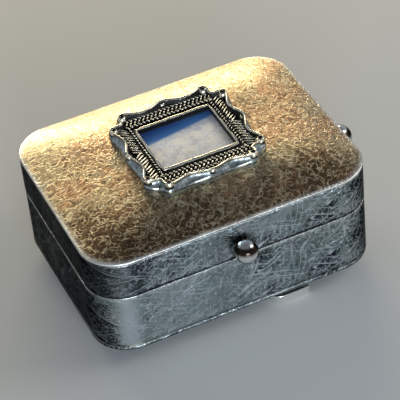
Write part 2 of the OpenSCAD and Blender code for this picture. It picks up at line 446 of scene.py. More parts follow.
class PILLBOX_OT_materials(bpy.types.Operator):
    """Make the shared wear groups and every material"""
    bl_idname = "pillbox.materials"
    bl_label = "Materials"

    def execute(self, context):
        groups = {"hair": make_hair_scratches(), "long": make_long_scratches(),
                  "mottle": make_mottle()}
        c = colours()
        MATERIALS["lid"] = worn_silver(
            "warm worn silver", groups, c.warm_silver[:], second=(0.6, 0.37, 0.21, 1),
            dirt=(0.16, 0.1, 0.055, 1), shine=(1.0, 0.87, 0.6, 1), patch=0.07, hair=0.72,
            cover=0.57, level=0.42, long_cover=0.1, rough=(0.31, 0.46), bump=0.4, depth=0.68,
            quiet=0.25, glance=0.8, soft=0.11)
        MATERIALS["wall"] = worn_silver(
            "cool worn silver", groups, c.cool_silver[:], second=(0.2, 0.27, 0.27, 1),
            dirt=(0.024, 0.03, 0.037, 1), shine=(0.88, 0.96, 1.0, 1), patch=0.11, hair=0.85,
            cover=0.5, level=0.455, long_cover=0.62, rough=(0.24, 0.4), bump=0.5, glance=0.3)
        MATERIALS["inside"] = worn_silver(
            "inside silver", groups, (0.5, 0.49, 0.46, 1), second=(0.5, 0.44, 0.34, 1),
            dirt=(0.2, 0.18, 0.15, 1), shine=(0.8, 0.79, 0.76, 1), patch=0.09, wrapped=False,
            hair=0.8, cover=0.3, level=0.45, long_cover=0.1, rough=(0.3, 0.5), bump=0.2,
            kept=False, depth=0.4)
        MATERIALS["hinge"] = worn_silver(
            "hinge silver", groups, (0.36, 0.37, 0.37, 1), second=(0.3, 0.3, 0.27, 1),
            dirt=(0.04, 0.04, 0.04, 1), shine=(0.8, 0.8, 0.78, 1), patch=0.5, wrapped=False,
            hair=1.6, cover=0.5, level=0.48, long_cover=0.3, rough=(0.22, 0.4), bump=0.3,
            kept=False)
        MATERIALS["ball"] = polished_silver(
            "polished ball", groups, (0.93, 0.93, 0.91, 1), rough=0.04,
            tarnish_and_shade_tone=(0.04, 0.027, 0.02, 1), glance=0.35)
        MATERIALS["foot"] = polished_silver(
            "bright strip", groups, (0.9, 0.9, 0.86, 1), rough=0.14,
            tarnish_and_shade_tone=(0.62, 0.61, 0.57, 1))
        MATERIALS["cast"] = cast_silver("cast silver")
        MATERIALS["card"] = pearly_card("pearly card")
        MATERIALS["glass"] = thin_glass("window glass")
        return {"FINISHED"}


# ---------------------------------------------------------------- meshes
def rounded_path(width, depth, radius, count):
    """Points clockwise round a box outline from the middle of its back, each with its place,
    its outward normal and its distance along the outline"""
    half_x, half_y = width / 2 - radius, depth / 2 - radius
    bend = math.pi * radius / 2
    lengths = (half_x, bend, 2 * half_y, bend, 2 * half_x, bend, 2 * half_y, bend, half_x)
    centres = ((0, half_y), (half_x, half_y), (half_x, -half_y), (-half_x, -half_y),
               (-half_x, half_y))
    total = sum(lengths)
    points = []
    for i in range(count):
        along = run = total * i / count
        for leg, length in enumerate(lengths):
            if run <= length:
                break
            run -= length
        # Odd legs are corners, even legs are straight
        bent, straight = (run, 0.0) if leg % 2 else (0.0, run)
        angle = math.pi / 2 * (1 - leg // 2) - bent / radius
        nx, ny = math.cos(angle), math.sin(angle)
        cx, cy = centres[(leg + 1) // 2]
        points.append((cx + radius * nx + straight * ny, cy + radius * ny - straight * nx,
                       nx, ny, along))
    return points, total


def add_object(name, data):
    item = bpy.data.objects.new(name, data)
    bpy.context.scene.collection.objects.link(item)
    return item


def edit_mesh(piece, change):
    """Run one change on a working copy of the mesh and write it back"""
    work = bmesh.new()
    work.from_mesh(piece.data)
    change(work)
    work.to_mesh(piece.data)
    work.free()


def outward(piece):
    """Turn every face of a closed piece outwards"""
    edit_mesh(piece, lambda work: bmesh.ops.recalc_face_normals(work, faces=work.faces))


def weld(piece, distance=1e-7):
    """Join the points that lie closer than the distance, in metres"""
    edit_mesh(piece, lambda work: bmesh.ops.remove_doubles(work, verts=work.verts,
                                                           dist=distance))


def clamp(value):
    return min(1.0, max(0.0, value))


def angles(count):
    """Evenly spaced angles round a ring"""
    return [2 * math.pi * i / count for i in range(count)]


def ring_faces(rings, count, skip=None, wrap=True):
    """Quads from each closed ring of count points to the next; skip leaves one gap open"""
    faces = []
    for r in range(rings if wrap else rings - 1):
        if r == skip:
            continue
        a, b = r * count, (r + 1) % rings * count
        for i in range(count):
            j = (i + 1) % count
            faces.append((a + i, b + i, b + j, a + j))
    return faces


def cap(points, faces, ring, count, middle=None, flip=False):
    """Close one ring with a fan round a new middle point"""
    start, centre = ring * count, len(points)
    points.append((0, 0, points[start][2]) if middle is None else middle)
    for i in range(count):
        face = (start + i, centre, start + (i + 1) % count)
        faces.append(face if flip else face[::-1])


def shell(rings, gap):
    """Points and faces of a hollow plate. The rings run inwards over one side up to the gap and
    outwards over the other side, and a cap closes the middle of each side"""
    count = len(rings[0])
    points = [p for ring in rings for p in ring]
    faces = ring_faces(len(rings), count, skip=gap)
    cap(points, faces, gap, count, flip=True)
    cap(points, faces, gap + 1, count)
    return points, faces


def inset_ring(path, inset, z):
    return [(x - nx * inset, y - ny * inset, z) for x, y, nx, ny, _ in path]


def build_mesh(name, points, faces, maps=None, marks=None):
    """A smooth mesh object; maps gives each face corner its place in millimetres, and marks
    names the values that each point carries for the materials"""
    mesh = bpy.data.meshes.new(name)
    mesh.from_pydata([tuple(p) for p in points], [], faces)
    if maps is not None:
        layer = mesh.uv_layers.new(name="wrap")
        flat = np.array([uv for face in maps for uv in face], np.float32)
        layer.data.foreach_set("uv", flat.ravel())
    for title, values in (marks or {}).items():
        mark = mesh.attributes.new(title, "FLOAT", "POINT")
        mark.data.foreach_set("value", np.array(values, np.float32))
    mesh.polygons.foreach_set("use_smooth", [True] * len(mesh.polygons))
    mesh.validate()
    mesh.update()
    return add_object(name, mesh)


def finish_piece(piece, body, slot_name, material, *replaced):
    """Material, body and the frame's nodes that the piece stands in for; slot_name is not used"""
    piece.data.materials.clear()
    piece.data.materials.append(MATERIALS[material])
    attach(piece, body)
    if replaced:
        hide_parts(*replaced)


def dent(x, y, z, seed, size=9.0):
    """0 to 1, smooth over several millimetres"""
    place = Vector((x, y, z)) / (size * MM) + Vector((seed, seed * 0.37, -seed))
    return clamp(0.5 + 0.9 * noise.noise(place))


def round_edge(inset, z, radius, start, end, steps=4):
    """Profile points (inset, height) of an edge rounded about the point (inset, z)"""
    points = []
    for i in range(steps + 1):
        angle = math.radians(start + (end - start) * i / steps)
        points.append((inset - radius * math.cos(angle), z + radius * math.sin(angle)))
    return points


def hump(value, middle, width):
    """1 at the middle, falling smoothly to 0 a few widths away"""
    return math.exp(-((value - middle) / width) ** 2)


def climb(value, middle, width):
    """0 below the middle, 1 above it, with a smooth change a few widths long"""
    return 1 / (1 + math.exp((middle - value) / width))


def wall_shade_and_grime(x, y, z):
    """How dark the outside of the walls is painted: most on the left and at the right corner.
    The dark left wall, the dark line in the seam and the dark ring round the thumb ball are
    painted shade
    """
    # Painted shade: the left wall darkened as a dark reflection
    left = 1 - climb(x, -BOX_W * 0.47, 0.8 * MM)
    right_corner = hump(x, BOX_W * 0.49, 3.0 * MM) * hump(y, -BOX_D * 0.42, 5.0 * MM)
    back = 0.15 * climb(y, BOX_D * 0.45, 1.0 * MM)
    on_lid = z > base_high.z
    # Painted shade in the seam under the lid's lower edge
    seam = 0.9 * hump(z, lid_low.z + 0.05 * MM, 0.13 * MM) if on_lid else 0.0
    # Painted shade in a ring round the thumb ball, where it meets the wall
    to_ball = math.dist((x, y, z), (0, -BOX_D / 2, (thumb_low.z + thumb_high.z) / 2))
    shade_round_ball = 0.8 * hump(to_ball, 1.6 * MM, 0.7 * MM)
    lid_left = 0.55 * hump(x, -BOX_W * 0.42, 5.0 * MM) if on_lid else 0.0
    strip = 0.5 * wavy_reflection_strip(x, y, z)
    return min(1.0, left + 0.9 * right_corner + back + seam + shade_round_ball + lid_left + strip)


def wavy_reflection_strip(x, y, z):
    """Painted reflection: a scratch-free strip with a wavy lower edge, high on the lid's front"""
    if z < base_high.z or y > -BOX_D * 0.46:
        return 0.0
    wave = 2.6 + 0.7 * math.sin(x / (1.7 * MM)) + 0.4 * math.sin(x / (0.8 * MM))
    return hump(x, BOX_W * 0.12, 7.0 * MM) * climb(z, lid_high.z - wave * MM, 0.15 * MM)


def wall_painted_sheen(x, y, z):
    """Painted highlight on the front: a narrow upright glow by the left corner inside a wide faint
    one, both weaker on the lid, and part of the wavy reflection strip"""
    front = 1 - climb(y, -BOX_D * 0.46, 0.6 * MM)
    glow = hump(x, -BOX_W * 0.41, 1.5 * MM) + 0.34 * hump(x, -BOX_W * 0.22, 7.0 * MM)
    glow *= 0.2 if z > base_high.z else 1.0
    return min(1.0, front * max(0.9 * glow, 0.35 * wavy_reflection_strip(x, y, z)))


def band(name, profile, count=300, seed=1.0, worn_at=None, waves=0.0):
    """Closed band: a closed profile of (inset, z) carried round the box"""
    path, total = rounded_path(BOX_W, BOX_D, CORNER, count)
    points = []
    marks = {"worn": [], "shade_and_grime": [], "polish_and_sheen": []}
    reach = [0.0]
    for a, b in zip(profile, profile[1:] + profile[:1]):
        reach.append(reach[-1] + math.dist(a, b))
    for x, y, nx, ny, along in path:
        for inset, z in profile:
            depth = inset
            if inset < WALL * 0.4:
                depth += waves * dent(x, y, z, seed)
            points.append((x - nx * depth, y - ny * depth, z))
            marks["worn"].append(worn_at(inset, z, along / total) if worn_at else 0.0)
            # Painted shade and painted sheen on the outside of the walls
            marks["shade_and_grime"].append(wall_shade_and_grime(x, y, z) if worn_at else 0.0)
            marks["polish_and_sheen"].append(wall_painted_sheen(x, y, z) if worn_at else 0.0)
    maps = []
    step = total / count
    for i in range(count):
        u0, u1 = i * step / MM, (i + 1) * step / MM
        for v0, v1 in zip(reach, reach[1:]):
            v0, v1 = v0 / MM, v1 / MM
            maps.append(((u0, v0), (u1, v0), (u1, v1), (u0, v1)))
    return build_mesh(name, points, ring_faces(count, len(profile)), maps, marks)


def ladder(inset, low, high, steps):
    """Evenly spaced profile points up or down a wall, ends left out"""
    return [(inset, low + (high - low) * i / steps) for i in range(1, steps)]


def edge_mask(height, spread, strength):
    """Wear near one height on the outer face"""
    def mask(inset, z, turn):
        if inset > WALL * 0.5:
            return 0.0
        patchy = 0.65 + 0.35 * math.sin(turn * 40) * math.sin(turn * 93 + 1)
        return strength * patchy * math.exp(-((z - height) / spread) ** 2)
    return mask


class PILLBOX_OT_base(bpy.types.Operator):
    """Wall, floor and bezel of the base"""
    bl_idname = "pillbox.base"
    bl_label = "Base"

    def execute(self, context):
        s = sizes()
        small = s.edge_round
        low, high = base_low.z, base_high.z
        # The wall sinks a hair into the floor plate, as they are soldered together
        outer = [(0.0, low)] + ladder(0.0, low, high - small, 16)
        top = round_edge(small, high - small, small, 0, 90)
        back = round_edge(WALL - small, high - small, small, 90, 180)
        inner = [(WALL, low)]
        wall = band("base_wall", outer + top + back + inner, seed=2.0,
                    worn_at=edge_mask(high, 0.16 * MM, 0.7), waves=s.dent_depth)
        finish_piece(wall, "base", "silver", "wall", "base_band")

        self.floor_plate(s.foot_round)

        small = 0.15 * MM
        gap = 0.25 * MM
        strip = 0.6 * MM
        outer_low = [(WALL, bezel_low.z), (WALL, base_high.z), (WALL + gap, base_high.z)]
        lip = round_edge(WALL + gap + small, bezel_high.z - small, small, 0, 90)
        lip_back = round_edge(WALL + gap + strip - small, bezel_high.z - small, small, 90, 180)
        rest = [(WALL + gap + strip, bezel_low.z)]
        bezel = band("bezel_strip", outer_low + lip + lip_back + rest, count=200)
        finish_piece(bezel, "base", "silver", "inside", "inner_bezel")
        return {"FINISHED"}

    def floor_plate(self, radius):
        """Floor of the box with a rounded bottom edge, slightly hollow underneath"""
        count = 300
        path, total = rounded_path(BOX_W, BOX_D, CORNER, count)
        low, high = plate_low.z, plate_high.z
        hollow, dish, outer_share = 0.12 * MM, 0.08 * MM, 0.47
        bottom = round_edge(radius, low + radius, radius, 0, -90, 6)
        profile = [(0.0, high)] + bottom
        rings = [inset_ring(path, inset, z) for inset, z in profile]
        edge = rings[-1]
        for share in (0.95, 0.85, 0.7, 0.5, 0.3, 0.12):
            rings.append([(x * share, y * share, low + hollow * (1 - share ** 2))
                          for x, y, z in edge])
        under_ends = len(rings)
        for share in (0.12, 0.35, 0.6, 0.85):
            rings.append([(x * share, y * share, high - dish * (1 - share ** 2))
                          for x, y, z in inset_ring(path, 0.0, high)])
        points, faces = shell(rings, under_ends - 1)
        # Wear on the turn of the bottom edge, not on the hollow underneath
        worn = [0.25 if z < low + radius * 0.7
                and max(abs(x) / BOX_W, abs(y) / BOX_D) > outer_share
                else 0.0 for x, y, z in points]
        # The map runs on from the wall above: distance round the box, then down from the joint
        mesh_maps = []
        scale = 1 / MM
        in_rings = len(rings) * count
        underside_shift = 300
        for face in faces:
            columns = [i % count for i in face if i < in_rings]
            wrap_round = columns and max(columns) - min(columns) > count / 2
            corners = []
            for i in face:
                if i >= in_rings or i // count >= len(profile):
                    corners.append((points[i][0] * scale + underside_shift,
                                    points[i][1] * scale))
                    continue
                column = i % count
                if wrap_round and column < count / 2:
                    column += count
                corners.append((column * total / count * scale, (points[i][2] - high) * scale))
            mesh_maps.append(corners)
        # Painted shade carried on from the walls above
        shade_and_grime = [wall_shade_and_grime(*p) for p in points]
        piece = build_mesh("floor_plate", points, faces, mesh_maps,
                           {"worn": worn, "shade_and_grime": shade_and_grime, "polish_and_sheen": [0.0] * len(points)})
        outward(piece)
        finish_piece(piece, "base", "silver", "wall", "base_plate")
        split_inside(piece, lambda p: p.center.z > high - 0.2 * MM and p.normal.z > 0.5)


def split_inside(piece, is_inside):
    """Give the faces that look into the box the inside material"""
    piece.data.materials.append(MATERIALS["inside"])
    for polygon in piece.data.polygons:
        if is_inside(polygon):
            polygon.material_index = 1


def pillow(x, y):
    """Height of the lid's top above its rim, as a share of the rise, at a place on the lid"""
    ax, ay = abs(x), abs(y)
    half_w, half_d = BOX_W / 2, BOX_D / 2
    share = max(ax / half_w, ay / half_d)
    cx, cy = half_w - CORNER, half_d - CORNER
    # In a corner, find the scaled outline that passes through the place
    if ax * half_d > cx * ay and ay * half_w > cy * ax:
        a = cx * cx + cy * cy - CORNER * CORNER
        b = -2 * (ax * cx + ay * cy)
        c = ax * ax + ay * ay
        root = b * b - 4 * a * c
        if root > 0:
            share = (-b - math.sqrt(root)) / (2 * a)
            other = (-b + math.sqrt(root)) / (2 * a)
            if share <= 0 or ax / share < cx or ay / share < cy:
                share = other
    return 1 - min(share, 1.0) ** 3


def lid_surface(x, y):
    return top_low.z + RISE * pillow(x, y)


class PILLBOX_OT_lid(bpy.types.Operator):
    """Wall and domed top of the lid"""
    bl_idname = "pillbox.lid"
    bl_label = "Lid"

    def execute(self, context):
        s = sizes()
        small = s.edge_round
        low, high = lid_low.z, lid_high.z - RIM_DOWN
        outer = round_edge(small, low + small, small, -90, 0) + ladder(0.0, low + small, high, 18)
        outer += [(0.0, high), (WALL, high)]
        inner = round_edge(WALL - small, low + small, small, 180, 270)
        wall = band("lid_wall", outer + inner, seed=5.0,
                    worn_at=edge_mask(high, 0.1 * MM, 0.3), waves=s.dent_depth)
        finish_piece(wall, "lid", "silver", "wall", "lid_band")
        self.top(s)
        return {"FINISHED"}

    def shade_and_grime(self, x, y):
        """Painted shade: darker towards the front rim and the left-front corner"""
        front = clamp(-(y / BOX_D + 0.12) / 0.36)
        corner = hump(x, -BOX_W / 2, 9 * MM) * hump(y, -BOX_D / 2, 8 * MM)
        return min(1.0, 0.75 * front + 0.5 * corner)

    def polish_and_sheen(self, x, y):
        """Painted sheen: bright behind the frame and along the back-left edge"""
        back = clamp((y / BOX_D - 0.22) / 0.25)
        left = 0.35 + 0.65 * clamp(0.6 - x / BOX_W)
        return 0.38 * back * left

    def top(self, s):
        """Pillow-shaped top with a worn, rounded rim that comes down on to the wall"""
        count = 360
        path = rounded_path(BOX_W, BOX_D, CORNER, count)[0]
        radius = s.rim_round
        low = top_low.z - RIM_DOWN
        rings, worn_ring = [inset_ring(path, 0.0, low)], [0.35]
        for angle in (0, 22.5, 45, 67.5, 82):
            turn = math.radians(angle)
            inset = radius * (1 - math.cos(turn))
            z = top_low.z - radius * 0.75 + radius * math.sin(turn)
            rings.append(inset_ring(path, inset, z))
            worn_ring.append(1.0)
        steps, edge, waves = 44, 1 - 0.012, 0.06 * MM
        for i in range(steps):
            share = edge - edge * (i / steps) ** 1.15
            smooth = top_low.z + RISE * (1 - share ** 3)
            ring = [(x * share, y * share, smooth) for x, y, z in rings[0]]
            fade = min(1, (1 - share) * 12)
            rings.append([(x, y, z - waves * dent(x, y, 0, seed=8.0, size=7.0) * fade)
                          for x, y, z in ring])
            worn_ring.append(0.75 if i == 0 else (0.2 if i == 1 else 0.0))
        outer_rings = len(rings)
        thick = 0.6 * MM
        for share in (0.02, 0.2, 0.4, 0.6, 0.75, 0.86, 0.94, 1.0):
            z = top_low.z + (RISE - thick) * (1 - share ** 3)
            rings.append([(x * share, y * share, z) for x, y, z in inset_ring(path, WALL, z)])
        rings.append(inset_ring(path, WALL, low))
        worn_ring += [0.0] * (len(rings) - outer_rings)
        points, faces = shell(rings, outer_rings - 1)
        worn = [w for w in worn_ring for i in range(count)] + [0.0, 0.0]
        # Wear on the rim comes and goes along it
        for r in range(outer_rings):
            for i in range(count):
                turn = i / count
                worn[r * count + i] *= (
                    0.75 + 0.25 * math.sin(turn * 51 + 0.7) * math.sin(turn * 23))
        maps = [[(points[i][0] / MM, points[i][1] / MM) for i in face] for face in faces]
        # Painted shade darkens the front of the top and painted sheen brightens its back
        piece = build_mesh("lid_dome", points, faces, maps, {
            "worn": worn, "shade_and_grime": [self.shade_and_grime(*p[:2]) for p in points],
            "polish_and_sheen": [self.polish_and_sheen(*p[:2]) for p in points]})
        outward(piece)
        finish_piece(piece, "lid", "lid_silver", "lid", "lid_top")
        split_inside(piece, lambda p: p.normal.z < -0.3)


class PILLBOX_OT_balls(bpy.types.Operator):
    """Ball thumb-piece on the front and the ball on the right side, each on its soldered neck"""
    bl_idname = "pillbox.balls"
    bl_label = "Balls"

    def execute(self, context):
        front = Vector((0.0, -BOX_D / 2, (thumb_low.z + thumb_high.z) / 2))
        self.ball("thumb_ball_turned", front, -90, (thumb_high.z - thumb_low.z) / 2,
                  thumb_high.y - thumb_low.y, "thumb_ball")
        side = Vector((BOX_W / 2, (side_low.y + side_high.y) / 2, (side_low.z + side_high.z) / 2))
        self.ball("side_ball_turned", side, 0, (side_high.z - side_low.z) / 2,
                  side_high.x - side_low.x, "side_ball")
        return {"FINISHED"}

    def ball(self, name, foot, turn, radius, reach, node):
        """Ball turned about the line that leaves the wall; its neck flares out where it is
        soldered on
        """
        centre = reach - radius
        neck = ((0.0, 0.66), (0.05, 0.56), (0.16, 0.5))
        profile = [(radius * along, radius * out) for along, out in neck]
        neck_share, steps, around = 0.52, 28, 72
        start = math.degrees(math.asin(neck_share))
        for i in range(steps):
            angle = math.radians(180 - start + (start - 180) * i / (steps - 1))
            profile.append((centre + radius * math.cos(angle), radius * math.sin(angle)))
        profile = [p for p in profile if p[0] >= 0][:-1]
        turned = Matrix.Translation(foot) @ Matrix.Rotation(math.radians(turn), 4, "Z")
        points = []
        for along, out in profile:
            for angle in angles(around):
                across, up = out * math.cos(angle), out * math.sin(angle)
                pit = 1 - 0.012 * dent(along, across, up, seed=3.0, size=0.9)
                points.append(turned @ Vector((along, across * pit, up * pit)))
        faces = ring_faces(len(profile), around, wrap=False)
        for ring, along in ((0, 0.0), (len(profile) - 1, reach)):
            cap(points, faces, ring, around, turned @ Vector((along, 0, 0)), flip=True)
        # Painted shade: the upper side of the ball and of its neck is darkened as a painted dark
        # reflection, leaving a thin bright crescent at the very top; the lower half stays bright
        painted_dark_crown = []
        for p in points:
            height = (p.z - foot.z) / radius
            dark = clamp(3.5 * height - 0.25)
            painted_dark_crown.append(dark * min(1.0, max(0.1, (0.84 - height) / 0.1)))
        piece = build_mesh(name, points, faces, marks={"shade_and_grime": painted_dark_crown})
        outward(piece)
        finish_piece(piece, "lid", "polished", "ball", node)


# ---------------------------------------------------------------- cast picture frame
FRAME_W = cast_high.x - cast_low.x
FRAME_D = cast_high.y - cast_low.y
WINDOW_W = card_high.x - card_low.x
WINDOW_D = card_high.y - card_low.y
FRAME_TOP = cast_high.z
LOBE = 3.0 * MM
NOTCH = 1.7 * MM
SCALLOP = 0.9 * MM
SIDE_SHARE = 0.68


def quarter_turned(x, y, quarter):
    turn = math.radians(90 * quarter)
    return x * math.cos(turn) - y * math.sin(turn), x * math.sin(turn) + y * math.cos(turn)


def cast_outline(quarter, t):
    """Point on the scalloped outline and the lobe height there; t runs -1 to 1 along one side"""
    long_w, long_d = (FRAME_W, FRAME_D) if quarter % 2 == 0 else (FRAME_D, FRAME_W)
    straight = long_d / 2 - LOBE
    if abs(t) <= SIDE_SHARE:
        along = t / SIDE_SHARE
        dip = (1 - math.cos(2 * math.pi * along)) / 2
        x, y = long_w / 2 - SCALLOP * dip, along * straight
        lobe = 1 - dip
    else:
        # Half of the round notch: the other half belongs to the next side
        run = (abs(t) - SIDE_SHARE) / (1 - SIDE_SHARE) / 2
        dip = (1 - math.cos(2 * math.pi * run)) / 2
        angle = run * math.pi / 2
        reach = LOBE - NOTCH * dip
        x = long_w / 2 - LOBE + reach * math.cos(angle)
        y = math.copysign(straight + reach * math.sin(angle), t)
        lobe = 1 - dip
    return quarter_turned(x, y, quarter), lobe


def cast_window(quarter, t):
    long_w, long_d = (WINDOW_W, WINDOW_D) if quarter % 2 == 0 else (WINDOW_D, WINDOW_W)
    x, y = long_w / 2, t * long_d / 2
    return quarter_turned(x, y, quarter)


class PILLBOX_OT_cast_frame(bpy.types.Operator):
    """Cast frame: flared body, rolled edge, leaf ribs, braid and scroll ends"""
    bl_idname = "pillbox.cast_frame"
    bl_label = "Cast frame"

    def execute(self, context):
        self.body()
        self.relief()
        return {"FINISHED"}

    def body(self):
        """Lofted round the window from the outline: share goes from edge (0) to window (1)"""
        top = FRAME_TOP
        # outward reach in mm, share of the way to the window, height from the top in mm
        # (None is the lid's surface), how raised the place is, how far it belongs to the skirt
        profile = [
            (-0.1, 0.00, None, 0.1, 1), (0.0, 0.00, -1.62, 0.4, 1),
            (0.0, 0.00, -1.42, 0.75, 1), (-0.06, 0.00, -1.24, 0.7, 1),
            (-0.18, 0.00, -1.06, 0.5, 1), (-0.34, 0.00, -0.84, 0.35, 1),
            (-0.42, 0.00, -0.62, 0.3, 1), (-0.38, 0.00, -0.4, 0.45, 1),
            (-0.26, 0.00, -0.22, 0.8, 1), (-0.2, 0.00, -0.1, 1.0, 1),
            (-0.24, 0.00, 0.0, 1.0, 0.5), (-0.36, 0.00, -0.02, 0.95, 0),
            (-0.48, 0.01, -0.14, 0.5, 0), (-0.54, 0.04, -0.42, 0.0, 0),
            (-0.56, 0.1, -0.76, -0.2, 0), (-0.5, 0.2, -0.98, -0.25, 0),
            (-0.34, 0.34, -1.02, -0.2, 0), (-0.14, 0.48, -0.96, -0.15, 0),
            (0.0, 0.6, -0.92, -0.15, 0), (0.0, 0.72, -0.92, -0.2, 0),
            (0.0, 0.83, -0.96, -0.2, 0), (0.0, 0.87, -0.8, 0.1, 0),
            (0.0, 0.9, -0.58, 0.75, 0), (0.0, 0.935, -0.5, 1.0, 0),
            (0.0, 0.97, -0.5, 0.95, 0), (0.0, 1.0, -0.62, 0.4, 0),
            (0.0, 1.0, -0.9, -0.1, 0), (0.0, 1.0, "floor", -0.1, 0)]
        per_side, spread = 132, 0.6
        columns = [(quarter, -1 + 2 * i / per_side)
                   for quarter in range(4) for i in range(per_side)]
        points = []
        marks = {"crest": [], "skirt": []}
        for quarter, t in columns:
            (ox, oy), lobe = cast_outline(quarter, t)
            normal = self.outline_normal(quarter, t)
            wx, wy = cast_window(quarter, t)
            # The edge sags between its lobes, most at the front, where the skirt stands out
            sag = (0.14 - 0.22 * oy / FRAME_D) * (1 - lobe) * MM
            for reach, share, height, value, skirt in profile:
                drop = -height if isinstance(height, float) else 2.0
                flare = spread * (1 - lobe) * clamp((drop - 0.1) / 1.1) if skirt == 1 else 0
                out = (reach + flare) * MM * (1 - share)
                px, py = ox + normal.x * out, oy + normal.y * out
                x, y = px + (wx - px) * share, py + (wy - py) * share
                ground = lid_surface(x, y)
                if height is None:
                    z = ground
                elif height == "floor":
                    z = card_low.z
                else:
                    z = max(top + height * MM - sag * (1 - share), ground + 0.02 * MM)
                points.append((x, y, z))
                rough = noise.noise(Vector((x, y, z)) / (0.6 * MM))
                marks["crest"].append(value + 0.12 * rough * (1 - skirt))
                marks["skirt"].append(skirt)
        faces = ring_faces(len(columns), len(profile))
        piece = build_mesh("cast_frame_body", points, faces, marks=marks)
        outward(piece)
        finish_piece(piece, "lid", "cast_frame", "cast", "picture_frame")

    def outline_normal(self, quarter, t):
        step = 0.01
        ax, ay = cast_outline(quarter, max(-1, t - step))[0]
        bx, by = cast_outline(quarter, min(1, t + step))[0]
        tangent = Vector((bx - ax, by - ay)).normalized()
        return Vector((tangent.y, -tangent.x))

    def relief(self):
        """Rows of leaf ribs on the side members and of braid on the front and back members"""
        tree = make_rib_tree()
        s = sizes()
        z = FRAME_TOP - 0.84 * MM
        pieces = []

        def row(start, run, number, length, width, tilt):
            index = len(pieces)
            pieces.append(run_rib_tree(tree, f"cast_row_{index + 1}", {
                "Start": start, "Run": run, "Number": number, "Rib Length": length * MM,
                "Rib Width": width * MM, "Tilt": math.radians(tilt), "Seed": index,
                "Material": MATERIALS["cast"]}))

        side_x = (FRAME_W + WINDOW_W) / 4
        half = WINDOW_D * 0.6
        for side in (-1, 1):
            # Long ribs lean one way behind the middle and the other way in front of it
            for end in (-1, 1):
                row((side * side_x, end * 0.3 * MM, z), (0, end * half, 0), s.rib_count,
                    length=2.1, width=0.27, tilt=34 * side * end)
            row((side * (side_x - 1.15 * MM), -half, z + 0.08 * MM), (0, 2 * half, 0),
                2 * s.rib_count, length=0.5, width=0.22, tilt=30 * side)
        side_y = (FRAME_D + WINDOW_D) / 4
        half = WINDOW_W * 0.58
        for side in (-1, 1):
            for line in range(3):
                row((-half + 0.22 * MM * line, side * (side_y + (line - 1.2) * 0.7 * MM), z),
                    (2 * half, 0, 0), s.braid_count, length=0.8, width=0.32,
                    tilt=44 if line % 2 else -44)
        join(pieces, "cast_relief")
        finish_piece(pieces[0], "lid", "cast_frame", "cast")
        self.scrolls()

    def scrolls(self):
        """Curled knobs on the lobes beside the corners, smaller ones in the middle of the sides"""
        places = []
        knob_inset = 1.05
        for quarter in range(4):
            for t, size in ((-SIDE_SHARE, 0.72), (SIDE_SHARE, 0.72), (0.0, 0.5)):
                place = Vector(cast_outline(quarter, t)[0])
                place -= self.outline_normal(quarter, t) * size * MM * knob_inset
                places.append((place.x, place.y, size * MM, quarter * 1.57 + t))
        around, up, eye = 24, 12, 0.66
        points, faces, crest = [], [], []
        for cx, cy, size, phase in places:
            start = len(points)
            for k in range(up + 1):
                share = k / up
                # Over the shoulder, then down into a dimple at the eye of the curl
                rise = math.pi * share * 0.72
                ring = size * max(0.0, math.cos(rise * 0.69)) if k < up else 0
                z = FRAME_TOP - 0.95 * MM + size * 1.25 * math.sin(min(rise, math.pi / 2))
                z -= size * 0.5 * max(0.0, share - eye) / (1 - eye)
                for angle in angles(around):
                    # The shoulder climbs round the eye as a scroll does
                    lift = 0.16 * size * math.cos(angle - phase) * math.sin(math.pi * share)
                    points.append((cx + ring * math.cos(angle), cy + ring * math.sin(angle),
                                   min(z + lift, FRAME_TOP)))
                    crest.append(0.1 + 0.95 * math.sin(rise) if share < eye else -0.05)
            for face in ring_faces(up + 1, around, wrap=False) + [range(around)]:
                faces.append(tuple(start + i for i in face))
        piece = build_mesh("cast_scroll_knobs", points, faces,
                           marks={"crest": crest, "skirt": [0.0] * len(points)})
        weld(piece)
        outward(piece)
        finish_piece(piece, "lid", "cast_frame", "cast")


def join(pieces, name):
    bpy.ops.object.select_all(action="DESELECT")
    for piece in pieces:
        piece.select_set(True)
    bpy.context.view_layer.objects.active = pieces[0]
    bpy.ops.object.join()
    pieces[0].name = name
    pieces[0].data.name = name


def random_value(g, low, high, seed):
    """A number between low and high for each point"""
    return g.put("FunctionNodeRandomValue", {2: low, 3: high, "Seed": seed},
                 data_type="FLOAT").outputs[1]


